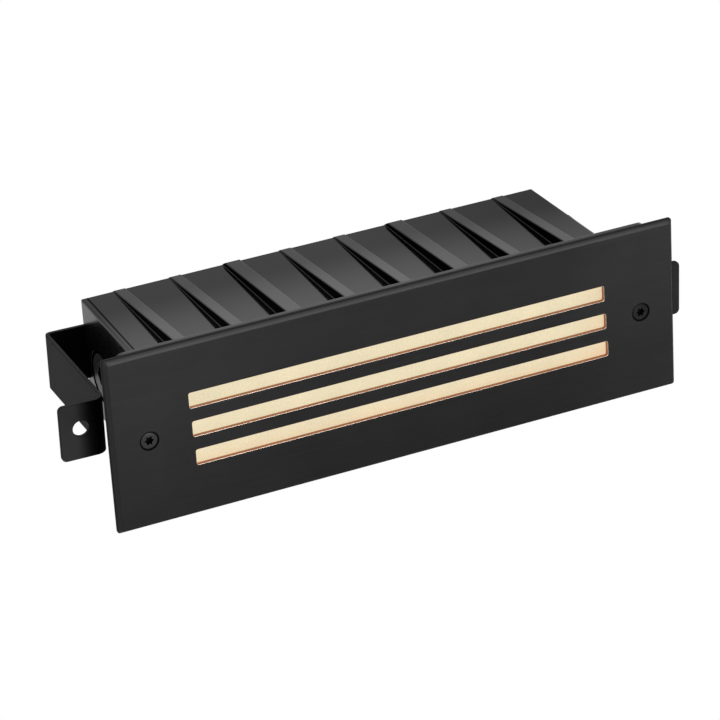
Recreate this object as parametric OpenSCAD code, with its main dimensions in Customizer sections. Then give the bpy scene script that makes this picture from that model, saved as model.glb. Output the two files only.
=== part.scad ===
// Recessed step light: a louvred faceplate on a ribbed housing, with a strap that swivels on its rear.
// X runs along the light, Y into the wall and Z up. The wall's face is the plane y = 0.

/* [Faceplate] */
// Width of the faceplate's front
plate_w = 226; // [205:1:240]
// Height of the faceplate's front
plate_h = 67; // [64:0.5:74]
// Thickness of the faceplate
plate_t = 2; // [1.9:0.1:3]
// How far the faceplate's sides slope outwards from its front to its back
plate_slope = 1.2; // [0.6:0.1:1.8]
// Radius of the faceplate's corners, seen from the front
plate_corner_r = 1; // [0.8:0.1:3]
// How far the lens reaches past the end of a centred light slot
slot_end_cover = 2.25; // [2.25:0.05:16]
// Height of a light slot
slot_h = 6.7; // [5:0.1:7.2]
// Distance from one light slot to the next
slot_pitch = 11.6; // [9:0.1:11.8]
// How far the light slots lie to the right of the faceplate's middle
slot_shift = 1.1; // [0:0.1:1.2]
// Number of light slots
slot_count = 3; // [1:1:3]
// Radius of a light slot's corners
slot_corner_r = 0.7; // [0.4:0.1:2]
// Distance from the flange's end to a faceplate screw
plate_screw_inset = 7.05; // [6.55:0.05:7.15]

/* [Housing] */
// Depth of the housing behind the wall's face
box_depth = 75; // [74:0.5:92]
// How far each side of the box closes in towards the rear
box_draft = 1.8; // [1:0.1:2.2]
// Wall thickness of the housing
wall_t = 2.8; // [2.4:0.1:2.9]
// Radius of the box's long edges at the flange; they are nearly sharp at the rear
box_edge_r = 2; // [1.4:0.1:2.6]
// How far the front flange stays inside the faceplate's front at each end
flange_end_inset = 6.25; // [4.5:0.05:7]
// How far the front flange stays inside the faceplate's front at top and bottom
flange_edge_inset = 0.8; // [0.5:0.05:1.5]
// How far the front flange reaches past the box at each end
flange_end_reach = 10.6; // [10.45:0.05:10.85]
// How far the front flange reaches past the box at top and bottom
flange_edge_reach = 8.65; // [7.2:0.05:8.8]
// Thickness of the front flange
flange_t = 6.5; // [5:0.1:7]
// Radius of the flange's corners
flange_corner_r = 3.5; // [2:0.5:5]
// Rounding of the flange's rear edges
flange_edge_r = 0.8; // [0.4:0.1:1.2]

/* [Ribs] */
// Number of wedge ribs on the top, and on the bottom
rib_count = 8; // [4:2:8]
// Distance from one rib to the next
rib_pitch = 22.6; // [20:0.1:24]
// Width of a plain rib
rib_w = 4.8; // [3:0.1:5.4]
// Width of a heavy rib
heavy_rib_w = 6.3; // [5:0.1:7]
// Height of a rib over the panel, at the flange
rib_front_h = 5.2; // [3:0.1:5.8]
// Height of a plain rib over the panel, near the rear
rib_rear_h = 0.6; // [0.4:0.1:1.5]
// Height of a heavy rib over the panel, near the rear
heavy_rib_rear_h = 1.8; // [1:0.1:2.5]
// Rounding of the ribs' top edges
rib_edge_r = 0.5; // [0.3:0.1:0.8]

/* [Strap] */
// Width of the strap's steel strip
strap_w = 22.2; // [18:0.1:26]
// Thickness of the strap's steel strip
strap_t = 1.5; // [1.2:0.1:2]
// Gap between the housing's box and an arm of the strap, at the flange
arm_gap = 12.3; // [11.85:0.05:15.35]
// How far a tab stands out past its arm
tab_reach = 16.8; // [14:0.1:24]
// Distance from the wall's face to the front of the tabs
tab_setback = 15.8; // [14:0.1:22]
// Distance from a tab's end to the middle of its hole
tab_hole_inset = 8.1; // [6:0.1:9]
// How far the holes lie over the middle of the strip
tab_hole_rise = 1; // [0:0.1:2]
// Diameter of the holes in the tabs
tab_hole_d = 6.2; // [5:0.1:7]
// Radius of the tabs' corners
tab_corner_r = 2; // [1:0.1:3]
// How far the strap's screw lies under the middle of the housing
strap_drop = 1.7; // [0:0.1:2]
// Angle by which the strap is turned on its screw
strap_turn = 1.1; // [-2:0.1:2]

/* [Light engine] */
// Gap between the housing's mouth and the frosted lens at each end
lens_end_gap = 6.85; // [6.75:0.05:6.95]
// Gap between the housing's mouth and the frosted lens at top and bottom
lens_edge_gap = 3.25; // [2.75:0.05:4]
// Thickness of the frosted lens
lens_t = 3; // [2:0.1:3.5]
// Depth of the reflector pan
pan_depth = 15; // [12:0.5:17]
// Thickness of the pan's sheet
pan_t = 1.2; // [0.8:0.1:1.4]
// Number of light-emitting packages in a row
led_count = 12; // [6:2:14]
// Distance from one package to the next
led_pitch = 11.2; // [8:0.1:11.2]

/* [Supply] */
// Bore of the conduit entries, which take a half-inch taper pipe thread
entry_d = 21; // [18:0.1:21]
// Distance from the housing's rear face to the middle of the conduit entries
entry_setback = 16; // [15:0.5:20]
// How far the conduit entries lie under the middle of the housing
entry_drop = 3.4; // [0:0.1:3.4]
// Distance from the middle of the light to the inner end of the driver
driver_middle_gap = 8; // [8:0.5:18]
// Height of the driver
driver_h = 30; // [24:0.5:31]
// Thickness of the driver
driver_t = 22; // [16:0.5:24]

/* [Hidden] */

// Facets of a small round and of a large one
small_fn = 32;
round_fn = 64;
// How far a cutting body reaches past what it cuts
overrun = 1;
// Thickness of the slices that a drafted body is drawn between
slice = 0.01;
// Gap at a part that is slipped in, and at one that is screwed or pressed down
slip_gap = 0.3;
seat_gap = 0.05;
// Running clearance of the strap, round its screw and at each face
strap_run_gap = 0.08;

// Wall gasket and the planes in front of the wall
gasket_t = 1;
gasket_rim = 0.2;
plate_back_y = -gasket_t;
plate_front_y = plate_back_y - plate_t;
plate_back_w = plate_w + 2 * plate_slope;
plate_back_h = plate_h + 2 * plate_slope;

// Flange and box, whose sizes follow the faceplate's
flange_w = plate_w - 2 * flange_end_inset;
flange_h = plate_h - 2 * flange_edge_inset;
box_w = flange_w - 2 * flange_end_reach;
box_h = flange_h - 2 * flange_edge_reach;
mouth_w = box_w - 2 * wall_t;
mouth_h = box_h - 2 * wall_t;
plate_screw_span = flange_w - 2 * plate_screw_inset;

// Lens, its channel gasket and the pocket that takes them
lens_w = mouth_w - 2 * lens_end_gap;
lens_h = mouth_h - 2 * lens_edge_gap;
slot_l = lens_w - 2 * slot_end_cover;
lip_t = 0.6;
lip_reach = 1;
channel_t = 1.2;
pocket_depth = 0.4;
pocket_y = plate_back_y - pocket_depth;
lens_front_y = pocket_y + lip_t;
lens_back_y = lens_front_y + lens_t;
channel_w = lens_w + 2 * channel_t;
channel_h = lens_h + 2 * channel_t;

// Inside of the housing
rear_inner_y = box_depth - wall_t;
rear_chamfer = 0.3;
rear_edge_r = 0.6;
inner_edge_r = 1;
rib_end_h = 0.1;
rib_end_share = 1.6;
function half_w_at(y) = box_w / 2 - box_draft * y / box_depth;
function half_h_at(y) = box_h / 2 - box_draft * y / box_depth;

// Machine screws: shank, head and drive
plate_screw_d = 4;
plate_screw_head_d = 8;
plate_screw_l = 14;
plate_screw_hole_d = 4.5;
insert_d = 5.6;
insert_l = 8;
flange_boss_d = 9;
flange_boss_l = 13;
lobe_r = 1.95;
lobe_depth = 1.5;
lobe_core_share = 0.72;
lobe_tip_share = 0.24;
lobe_count = 6;

// Reflector pan
pan_flange_y = lens_back_y + lip_t;
pan_seat_y = pan_flange_y + pan_t;
pan_floor_y = pan_flange_y + pan_depth;
pan_back_y = pan_floor_y + pan_t;
pan_flange_w = mouth_w - 2 * slip_gap;
pan_flange_h = mouth_h - 2 * slip_gap;
pan_mouth_w = lens_w - 2 * lip_reach;
pan_mouth_h = lens_h - 2 * lip_reach;
pan_slope = 4;
pan_floor_w = pan_mouth_w - 2 * pan_slope;
pan_floor_h = pan_mouth_h - 2 * pan_slope;
pan_corner_r = 2;
pan_screw_d = 2.5;
pan_screw_head_d = 4.4;
pan_screw_head_h = 1.4;
pan_screw_l = 8;
pan_screw_x = (channel_w + mouth_w) / 4;
pan_screw_z = 12;
pan_post_d = 5;
pan_post_l = 20;

// Board, packages and socket
board_t = 1.6;
board_margin = 1;
board_w = pan_floor_w - 2 * board_margin;
board_h = pan_floor_h - 2 * board_margin;
board_front_y = pan_floor_y - board_t;
led_w = 3.5;
led_h = 2.8;
led_t = 0.7;
led_row_z = 6;
board_screw_d = 2.5;
board_screw_head_d = 4.4;
board_screw_head_h = 1.4;
board_screw_l = 5;
board_screw_inset = 3.2;
socket_l = 9;
socket_h = 5;
socket_t = 4.5;
socket_x = 9;
grommet_hole_d = 7;
grommet_d = 9;
grommet_bore_d = 4.6;
grommet_lip_t = 0.8;
board_hole_d = 9.6;

// Driver on its two posts
driver_end_gap = 18.15;
driver_l = box_w / 2 - driver_end_gap - driver_middle_gap;
driver_x = driver_middle_gap + driver_l / 2;
driver_post_l = 9.2;
driver_back_y = rear_inner_y - driver_post_l;
driver_ear_l = 6;
driver_ear_t = 2;
driver_ear_h = 10;
driver_edge_r = 1.5;
driver_post_d = 6.5;
driver_screw_d = 3;
driver_screw_head_d = 5.6;
driver_screw_head_h = 2;
driver_screw_l = 9;
driver_screw_x = driver_l / 2 - driver_ear_l / 2;
driver_body_l = driver_l - 2 * driver_ear_l;

// Terminal block on its two posts
block_l = 33;
block_end_gap = 31.65;
block_x = -box_w / 2 + block_end_gap + block_l / 2;
block_h = 18;
block_t = 13;
block_post_l = 5.2;
block_back_y = rear_inner_y - block_post_l;
block_step_t = 5;
block_step_h = 4;
pole_count = 3;
pole_pitch = 10;
pole_screw_d = 4.6;
pole_screw_h = 2;
pole_screw_sink = 1.2;
block_post_d = 6;
block_screw_x = 5;
block_screw_d = 3;
block_screw_head_d = 4.4;
block_screw_head_h = 1.8;
block_screw_l = 17;

// Ground lug on its boss
ground_end_gap = 20.15;
ground_x = -box_w / 2 + ground_end_gap;
ground_z = -12;
ground_boss_d = 8;
ground_boss_h = 4;
lug_t = 0.8;
lug_d = 8;
lug_tail_l = 6;
lug_barrel_d = 3.4;
lug_barrel_l = 5;
lug_end_z = ground_z + lug_tail_l + lug_barrel_l;
ground_screw_d = 4;
ground_screw_head_d = 7;
ground_screw_head_h = 2.4;
ground_screw_l = 4.4;

// Leads
lead_d = 2;
lead_gap = 2.6;
lead_sides = 8;
lead_rings = 12;
lead_pull_share = 0.4;
block_lead_y = block_back_y - block_step_t / 2 - lead_d;
board_lead_z = lead_d / 2 + seat_gap;

// Conduit entries and the plug in the left one
entry_y = box_depth - entry_setback;
hub_d = 28;
hub_l = 10;
plug_l = 9;
plug_sink = 0.4;
plug_groove_w = 0.7;
plug_groove_depth = 1.6;
plug_hex_af = 8;
plug_hex_depth = 5;

// Strap, its screw, washers and boss
strap_span = box_w + 2 * (arm_gap + strap_t);
tab_span = strap_span + 2 * tab_reach;
tab_hole_span = tab_span - 2 * tab_hole_inset;
strap_rear_r = 1;
tab_bend_r = 3;
strap_y = box_depth + strap_run_gap;
strap_back_y = strap_y + strap_t;
strap_screw_d = 5;
strap_screw_head_d = 9.5;
strap_screw_head_h = 3.2;
strap_screw_l = 12;
strap_hole_d = strap_screw_d + 2 * strap_run_gap;
washer_d = 12;
washer_t = 1;
spring_washer_d = 8.8;
spring_washer_t = 1.3;
spring_washer_split = 0.9;
washer_hole_d = 5.4;
strap_insert_d = 6.8;
strap_insert_l = 9;
strap_boss_d = 12;
strap_boss_l = 8;
washer_y = strap_back_y + strap_run_gap;
spring_washer_y = washer_y + washer_t;
strap_head_y = spring_washer_y + spring_washer_t;
drive_cross_w = 1.1;
drive_cross_depth_share = 0.55;
drive_cross_span_share = 0.6;

// A rectangle with round corners, drawn round the origin
module round_rect(w, h, r) {
    square([w - 2 * r, h], center = true);
    square([w, h - 2 * r], center = true);
    for (sx = [-1, 1], sy = [-1, 1])
        translate([sx * (w / 2 - r), sy * (h / 2 - r)]) circle(r = r, $fn = small_fn);
}

// A plate's section: its face lies on the first axis and has round corners
module face_section(w, t, r) {
    translate([0, r + (t - r) / 2]) square([w, t - r], center = true);
    translate([0, t / 2]) square([w - 2 * r, t], center = true);
    for (s = [-1, 1]) translate([s * (w / 2 - r), r]) circle(r = r, $fn = small_fn);
}

// A plate's section whose sides slope outwards from its face to its back
module sloped_section(w, t, slope) {
    polygon([[-w / 2, 0], [w / 2, 0], [w / 2 + slope, t], [-w / 2 - slope, t]]);
}

// A plate with round corners and sloping sides
module sloped_slab(w, h, t, slope, corner_r) {
    back_w = w + 2 * slope;
    back_h = h + 2 * slope;
    intersection() {
        along_y(0, t) round_rect(back_w, back_h, corner_r);
        translate([0, 0, -back_h / 2]) linear_extrude(back_h) sloped_section(w, t, slope);
        translate([back_w / 2, 0, 0]) rotate([0, -90, 0]) linear_extrude(back_w)
            sloped_section(h, t, slope);
    }
}

// A plate with round corners, and round edges on the side that looks to the front
module soft_slab(w, h, t, corner_r, edge_r) {
    intersection() {
        along_y(0, t) round_rect(w, h, corner_r);
        translate([0, 0, -h / 2]) linear_extrude(h) face_section(w, t, edge_r);
        translate([w / 2, 0, 0]) rotate([0, -90, 0]) linear_extrude(w) face_section(h, t, edge_r);
    }
}

// Draws a flat shape in the X and Z plane, thick from y0 to y1
module along_y(y0, y1) {
    translate([0, y1, 0]) rotate([90, 0, 0]) linear_extrude(y1 - y0) children();
}

// A shaft along Y from y0 to y1
module rod_y(d, y0, y1) {
    translate([0, y1, 0]) rotate([90, 0, 0]) cylinder(h = y1 - y0, d = d, $fn = round_fn);
}

// A shaft along X from x0 to x1
module rod_x(d, x0, x1) {
    translate([x0, 0, 0]) rotate([0, 90, 0]) cylinder(h = x1 - x0, d = d, $fn = round_fn);
}

// A box from one corner to the other
module span_box(low, high) {
    translate(low) cube(high - low);
}

// A pan-head screw that enters along Y, its head's underside at y
module pan_head_screw(y, d, head_d, head_h, l, out) {
    head_end = y + out * head_h;
    difference() {
        union() {
            rod_y(head_d, min(y, head_end), max(y, head_end));
            rod_y(d, min(y, y - out * l), max(y, y - out * l));
        }
        cross_depth = head_h * drive_cross_depth_share;
        cross_end = head_end + out * overrun;
        cross_start = head_end - out * cross_depth;
        for (turn = [0, 90])
            along_y(min(cross_start, cross_end), max(cross_start, cross_end)) rotate(turn)
                square([head_d * drive_cross_span_share, drive_cross_w], center = true);
    }
}

// Six-lobe drive, of the radius over its lobes
module six_lobe(r) {
    circle(r = r * lobe_core_share, $fn = small_fn);
    for (i = [0 : lobe_count - 1])
        rotate(i * 360 / lobe_count) translate([r * (1 - lobe_tip_share), 0])
            circle(r = r * lobe_tip_share, $fn = small_fn);
}

// A round lead that runs through stations, each a point with the way the lead goes there
function hermite(a, b, t) = let (pull = norm(b[0] - a[0]) * lead_pull_share)
    pow(1 - t, 3) * a[0] + 3 * pow(1 - t, 2) * t * (a[0] + a[1] * pull)
    + 3 * (1 - t) * t * t * (b[0] - b[1] * pull) + t * t * t * b[0];
function unit(v) = v / norm(v);
function lead_points(stations) = concat(
    [for (i = [0 : len(stations) - 2]) for (k = [0 : lead_rings - 1])
        hermite(stations[i], stations[i + 1], k / lead_rings)],
    [stations[len(stations) - 1][0]]);
module lead(stations, up) {
    line = lead_points(stations);
    n = lead_sides;
    last = len(line) - 1;
    points = [for (i = [0 : last]) let (
        way = i == 0 ? stations[0][1] : i == last ? stations[len(stations) - 1][1]
            : unit(line[i + 1] - line[i - 1]),
        side = unit(cross(way, up)),
        lift = cross(side, way))
        for (k = [0 : n - 1]) let (a = 360 * k / n)
            line[i] + lead_d / 2 * (cos(a) * side + sin(a) * lift)];
    faces = concat(
        [[for (k = [0 : n - 1]) k]],
        [for (i = [0 : last - 1]) for (k = [0 : n - 1])
            [i * n + k, (i + 1) * n + k, (i + 1) * n + (k + 1) % n, i * n + (k + 1) % n]],
        [[for (k = [n - 1 : -1 : 0]) last * n + k]]);
    polyhedron(points = points, faces = faces, convexity = 4);
}

module slot_outlines() {
    for (i = [0 : slot_count - 1])
        translate([slot_shift, (i - (slot_count - 1) / 2) * slot_pitch]) round_rect(slot_l, slot_h, slot_corner_r);
}

module faceplate() {
    head_cone = (plate_screw_head_d - plate_screw_hole_d) / 2;
    color([0.16, 0.16, 0.165]) difference() {
        translate([0, plate_front_y, 0])
            sloped_slab(plate_w, plate_h, plate_t, plate_slope, plate_corner_r);
        along_y(plate_front_y - overrun, plate_back_y + overrun) slot_outlines();
        along_y(pocket_y, plate_back_y + overrun)
            round_rect(channel_w + 2 * slip_gap, channel_h + 2 * slip_gap, plate_corner_r);
        for (s = [-1, 1]) translate([s * plate_screw_span / 2, 0, 0]) {
            rod_y(plate_screw_hole_d, plate_front_y - overrun, plate_back_y + overrun);
            translate([0, plate_front_y, 0]) rotate([-90, 0, 0])
                cylinder(h = head_cone, d1 = plate_screw_head_d, d2 = plate_screw_hole_d, $fn = round_fn);
        }
    }
}

module plate_screws() {
    head_d = plate_screw_head_d - 2 * seat_gap;
    head_y = plate_front_y + seat_gap;
    color([0.1, 0.1, 0.1]) for (s = [-1, 1]) translate([s * plate_screw_span / 2, 0, 0]) difference() {
        union() {
            translate([0, head_y, 0]) rotate([-90, 0, 0])
                cylinder(h = (head_d - plate_screw_d) / 2, d1 = head_d, d2 = plate_screw_d, $fn = round_fn);
            rod_y(plate_screw_d, head_y + seat_gap, head_y + plate_screw_l);
        }
        along_y(head_y - overrun, head_y + lobe_depth) six_lobe(lobe_r);
    }
}

module plate_inserts() {
    color([0.75, 0.6, 0.3]) for (s = [-1, 1]) translate([s * plate_screw_span / 2, 0, 0]) difference() {
        rod_y(insert_d - 2 * seat_gap, seat_gap, insert_l);
        rod_y(plate_screw_d + 2 * seat_gap, -overrun, insert_l + overrun);
    }
}

module wall_gasket() {
    color([0.05, 0.05, 0.05]) difference() {
        along_y(-gasket_t, 0)
            round_rect(plate_back_w + 2 * gasket_rim, plate_back_h + 2 * gasket_rim, plate_corner_r);
        along_y(-gasket_t - overrun, overrun) round_rect(mouth_w, mouth_h, inner_edge_r);
        for (s = [-1, 1]) translate([s * plate_screw_span / 2, 0, 0])
            rod_y(plate_screw_hole_d, -gasket_t - overrun, overrun);
    }
}

module lens() {
    color([0.95, 0.9, 0.76, 0.9]) along_y(lens_front_y, lens_back_y)
        round_rect(lens_w, lens_h, inner_edge_r);
}

module lens_gasket() {
    color([0.85, 0.85, 0.83]) difference() {
        along_y(pocket_y + seat_gap, pan_flange_y) round_rect(channel_w, channel_h, inner_edge_r);
        along_y(lens_front_y, lens_back_y) round_rect(lens_w, lens_h, inner_edge_r);
        along_y(pocket_y - overrun, pan_flange_y + overrun)
            round_rect(lens_w - 2 * lip_reach, lens_h - 2 * lip_reach, inner_edge_r);
    }
}

// Slice of the drafted box at depth y, grown by a margin on each side
module box_slice(y, grow, r) {
    along_y(y - slice / 2, y + slice / 2)
        round_rect(2 * (half_w_at(y) + grow), 2 * (half_h_at(y) + grow), r, $fn = small_fn);
}

// One wedge rib on the top, from the flange to the rear
module rib(w, rear_h) {
    top_front = half_h_at(flange_t) + rib_front_h;
    top_rear = half_h_at(box_depth) + rear_h;
    end_y = box_depth - rear_h * rib_end_share;
    run = end_y - flange_t;
    fall = atan((top_front - top_rear) / run);
    root = half_h_at(box_depth) - wall_t / 2;
    intersection() {
        translate([w / 2, 0, 0]) rotate([0, -90, 0]) linear_extrude(w) polygon([
            [root, flange_t - wall_t], [top_front, flange_t - wall_t], [top_front, flange_t],
            [top_rear, end_y], [half_h_at(box_depth) + rib_end_h, box_depth], [root, box_depth]]);
        translate([0, flange_t, top_front]) rotate([-fall, 0, 0])
            translate([0, -wall_t, 0]) hanging_bar(w, box_depth - flange_t + 2 * wall_t, top_front);
    }
}

// A bar along Y that hangs under its round top edges
module hanging_bar(w, l, h) {
    rotate([-90, 0, 0]) linear_extrude(l) face_section(w, h, rib_edge_r);
}

module ribs() {
    for (i = [0 : rib_count - 1]) {
        from_middle = abs(i - (rib_count - 1) / 2);
        heavy = from_middle > 1 && from_middle < 2;
        translate([(i - (rib_count - 1) / 2) * rib_pitch, 0, 0])
            rib(heavy ? heavy_rib_w : rib_w, heavy ? heavy_rib_rear_h : rib_rear_h);
    }
}

// Post that stands on the inside of the rear wall and reaches forward to y
module rear_post(x, z, d, y, hole_d, hole_l) {
    translate([x, 0, z]) difference() {
        rod_y(d, y, rear_inner_y + wall_t / 2);
        rod_y(hole_d, y - overrun, y + hole_l);
    }
}

module housing() {
    color([0.1, 0.1, 0.105]) difference() {
        union() {
            difference() {
                union() {
                    hull() {
                        box_slice(slice / 2, 0, box_edge_r);
                        box_slice(box_depth - rear_chamfer, 0, rear_edge_r);
                        box_slice(box_depth - slice / 2, -rear_chamfer, rear_edge_r);
                    }
                    translate([0, flange_t, 0]) mirror([0, 1, 0])
                        soft_slab(flange_w, flange_h, flange_t, flange_corner_r, flange_edge_r);
                    ribs();
                    mirror([0, 0, 1]) ribs();
                    for (s = [-1, 1]) translate([s * plate_screw_span / 2, 0, 0])
                        rod_y(flange_boss_d, 0, flange_boss_l);
                }
                hull() {
                    box_slice(-overrun, -wall_t, inner_edge_r);
                    box_slice(rear_inner_y, -wall_t, inner_edge_r);
                }
            }
            for (sx = [-1, 1], sz = [-1, 1]) pan_post(sx, sz);
            for (sx = [-1, 1]) translate([0, entry_y, -entry_drop]) hub(sx);
            at_strap_screw()
                rod_y(strap_boss_d, box_depth - wall_t - strap_boss_l, box_depth - wall_t / 2);
            for (s = [-1, 1]) rear_post(driver_x + s * driver_screw_x, 0, driver_post_d, driver_back_y,
                driver_screw_d, driver_screw_l - driver_ear_t);
            for (s = [-1, 1]) rear_post(block_x + s * block_screw_x, 0, block_post_d, block_back_y,
                block_screw_d, rear_inner_y - block_back_y);
            rear_post(ground_x, ground_z, ground_boss_d, rear_inner_y - ground_boss_h,
                ground_screw_d, ground_screw_l);
        }
        for (s = [-1, 1]) translate([s * plate_screw_span / 2, 0, 0])
            rod_y(insert_d, -overrun, flange_boss_l - wall_t / 2);
        translate([0, entry_y, -entry_drop]) rod_x(entry_d, -box_w, box_w);
        at_strap_screw() rod_y(strap_insert_d, box_depth - strap_insert_l, box_depth + overrun);
    }
}

// Moves a shape from the middle axis to the axis of the strap's screw
module at_strap_screw() {
    translate([0, 0, -strap_drop]) children();
}

// Post in the housing's mouth that takes one of the pan's screws
module pan_post(sx, sz) {
    wall_x = half_w_at(pan_seat_y + pan_post_l) - wall_t / 2;
    translate([0, 0, sz * pan_screw_z]) difference() {
        union() {
            translate([sx * pan_screw_x, 0, 0]) rod_y(pan_post_d, pan_seat_y, pan_seat_y + pan_post_l);
            span_box([min(sx * pan_screw_x, sx * wall_x), pan_seat_y, -pan_post_d / 2],
                [max(sx * pan_screw_x, sx * wall_x), pan_seat_y + pan_post_l, pan_post_d / 2]);
        }
        translate([sx * pan_screw_x, 0, 0])
            rod_y(pan_screw_d + 2 * seat_gap, pan_seat_y - overrun, pan_seat_y + pan_screw_l);
    }
}

// Thick round inside a side wall that a conduit screws into
module hub(sx) {
    out_x = half_w_at(entry_y) - wall_t / 2;
    in_x = half_w_at(entry_y) - hub_l;
    rod_x(hub_d, min(sx * in_x, sx * out_x), max(sx * in_x, sx * out_x));
}

module reflector_pan() {
    color([0.93, 0.93, 0.91]) difference() {
        union() {
            along_y(pan_flange_y, pan_seat_y) round_rect(pan_flange_w, pan_flange_h, inner_edge_r);
            hull() {
                along_y(pan_flange_y, pan_seat_y) round_rect(pan_mouth_w + 2 * pan_t,
                    pan_mouth_h + 2 * pan_t, pan_corner_r, $fn = small_fn);
                along_y(pan_floor_y, pan_back_y) round_rect(pan_floor_w + 2 * pan_t,
                    pan_floor_h + 2 * pan_t, pan_corner_r, $fn = small_fn);
            }
        }
        hull() {
            along_y(pan_flange_y - slice, pan_flange_y) round_rect(pan_mouth_w, pan_mouth_h, pan_corner_r);
            along_y(pan_floor_y - slice, pan_floor_y) round_rect(pan_floor_w, pan_floor_h, pan_corner_r);
        }
        rod_y(grommet_hole_d, pan_floor_y - overrun, pan_back_y + overrun);
        for (sx = [-1, 1], sz = [-1, 1]) {
            translate([sx * pan_screw_x, 0, sz * pan_screw_z])
                rod_y(pan_screw_d + 2 * seat_gap, pan_flange_y - overrun, pan_seat_y + overrun);
            translate([sx * (board_w / 2 - board_screw_inset), 0, sz * (board_h / 2 - board_screw_inset)])
                rod_y(board_screw_d + 2 * seat_gap, pan_floor_y - overrun, pan_back_y + overrun);
        }
    }
}

module pan_screws() {
    color([0.7, 0.7, 0.7]) for (sx = [-1, 1], sz = [-1, 1])
        translate([sx * pan_screw_x, 0, sz * pan_screw_z])
            pan_head_screw(pan_flange_y, pan_screw_d, pan_screw_head_d, pan_screw_head_h,
                pan_screw_l - seat_gap, -1);
}

module led_board() {
    color([0.95, 0.95, 0.94]) difference() {
        along_y(board_front_y, pan_floor_y) round_rect(board_w, board_h, inner_edge_r);
        rod_y(board_hole_d, board_front_y - overrun, pan_floor_y + overrun);
        for (sx = [-1, 1], sz = [-1, 1])
            translate([sx * (board_w / 2 - board_screw_inset), 0, sz * (board_h / 2 - board_screw_inset)])
                rod_y(board_screw_d + 2 * seat_gap, board_front_y - overrun, pan_floor_y + overrun);
    }
}

module leds() {
    color([0.98, 0.85, 0.4]) for (i = [0 : led_count - 1], s = [-1, 1])
        translate([(i - (led_count - 1) / 2) * led_pitch, 0, s * led_row_z])
            along_y(board_front_y - led_t, board_front_y) square([led_w, led_h], center = true);
}

module board_screws() {
    color([0.7, 0.7, 0.7]) for (sx = [-1, 1], sz = [-1, 1])
        translate([sx * (board_w / 2 - board_screw_inset), 0, sz * (board_h / 2 - board_screw_inset)])
            pan_head_screw(board_front_y, board_screw_d, board_screw_head_d, board_screw_head_h,
                board_screw_l, -1);
}

module board_socket() {
    color([0.9, 0.9, 0.88])
        span_box([socket_x, board_front_y - socket_t, -socket_h / 2],
            [socket_x + socket_l, board_front_y, socket_h / 2]);
}

module pan_grommet() {
    color([0.06, 0.06, 0.06]) difference() {
        union() {
            rod_y(grommet_hole_d, pan_floor_y, pan_back_y + seat_gap);
            rod_y(grommet_d, pan_floor_y - grommet_lip_t, pan_floor_y);
            rod_y(grommet_d, pan_back_y, pan_back_y + grommet_lip_t);
        }
        rod_y(grommet_bore_d, board_front_y - overrun, pan_back_y + grommet_lip_t + overrun);
    }
}

module driver() {
    color([0.88, 0.88, 0.86]) translate([driver_x, 0, 0]) difference() {
        union() {
            along_y(driver_back_y - driver_t, driver_back_y)
                round_rect(driver_body_l, driver_h, driver_edge_r);
            along_y(driver_back_y - driver_ear_t, driver_back_y)
                round_rect(driver_l, driver_ear_h, driver_edge_r);
        }
        for (s = [-1, 1]) translate([s * driver_screw_x, 0, 0])
            rod_y(driver_screw_d + 2 * seat_gap, driver_back_y - driver_ear_t - overrun,
                driver_back_y + overrun);
    }
}

module driver_screws() {
    color([0.7, 0.7, 0.7]) for (s = [-1, 1]) translate([driver_x + s * driver_screw_x, 0, 0])
        pan_head_screw(driver_back_y - driver_ear_t, driver_screw_d - seat_gap, driver_screw_head_d,
            driver_screw_head_h, driver_screw_l - seat_gap, -1);
}

module terminal_block() {
    front_y = block_back_y - block_t;
    color([0.85, 0.85, 0.82]) translate([block_x, 0, 0]) difference() {
        union() {
            span_box([-block_l / 2, front_y + block_step_t, -block_h / 2],
                [block_l / 2, block_back_y, block_h / 2]);
            span_box([-block_l / 2, front_y, -block_h / 2 + block_step_h],
                [block_l / 2, block_back_y, block_h / 2 - block_step_h]);
        }
        for (s = [-1, 1]) translate([s * block_screw_x, 0, 0])
            rod_y(block_screw_d + 2 * seat_gap, front_y - overrun, block_back_y + overrun);
        for (i = [0 : pole_count - 1], s = [-1, 1])
            translate([(i - (pole_count - 1) / 2) * pole_pitch, 0, s * (block_h - block_step_h) / 2])
                rod_y(pole_screw_d + 2 * seat_gap, front_y - overrun, front_y + block_step_t + pole_screw_sink);
    }
}

module terminal_screws() {
    seat_y = block_back_y - block_t + block_step_t + pole_screw_sink;
    color([0.75, 0.7, 0.5]) for (i = [0 : pole_count - 1], s = [-1, 1])
        translate([block_x + (i - (pole_count - 1) / 2) * pole_pitch, 0, s * (block_h - block_step_h) / 2])
            rod_y(pole_screw_d, seat_y - pole_screw_h, seat_y);
}

module block_screws() {
    color([0.7, 0.7, 0.7]) for (s = [-1, 1]) translate([block_x + s * block_screw_x, 0, 0])
        pan_head_screw(block_back_y - block_t, block_screw_d - seat_gap, block_screw_head_d,
            block_screw_head_h, block_screw_l - seat_gap, -1);
}

module supply_leads() {
    block_end = block_x + block_l / 2;
    driver_end = driver_x - driver_body_l / 2;
    color([0.08, 0.08, 0.08]) for (s = [-1, 1])
        lead([[[block_end, block_lead_y, s * block_h / 4], [1, 0, 0]],
            [[driver_end, driver_back_y - driver_t / 2, -driver_h / 4 + s * lead_gap / 2], [1, 0, 0]]],
            [0, 0, 1]);
}

module board_leads() {
    driver_end = driver_x - driver_body_l / 2;
    socket_y = board_front_y - socket_t / 2;
    color([0.6, 0.08, 0.06]) for (s = [-1, 1])
        lead([[[driver_end, driver_back_y - driver_t / 2, driver_h / 4 + s * lead_gap / 2], [-1, 0, 0]],
            [[0, pan_back_y, s * board_lead_z], [0, -1, 0]],
            [[socket_x, socket_y, s * board_lead_z], [1, 0, 0]]], [0, 0, 1]);
}

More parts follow.
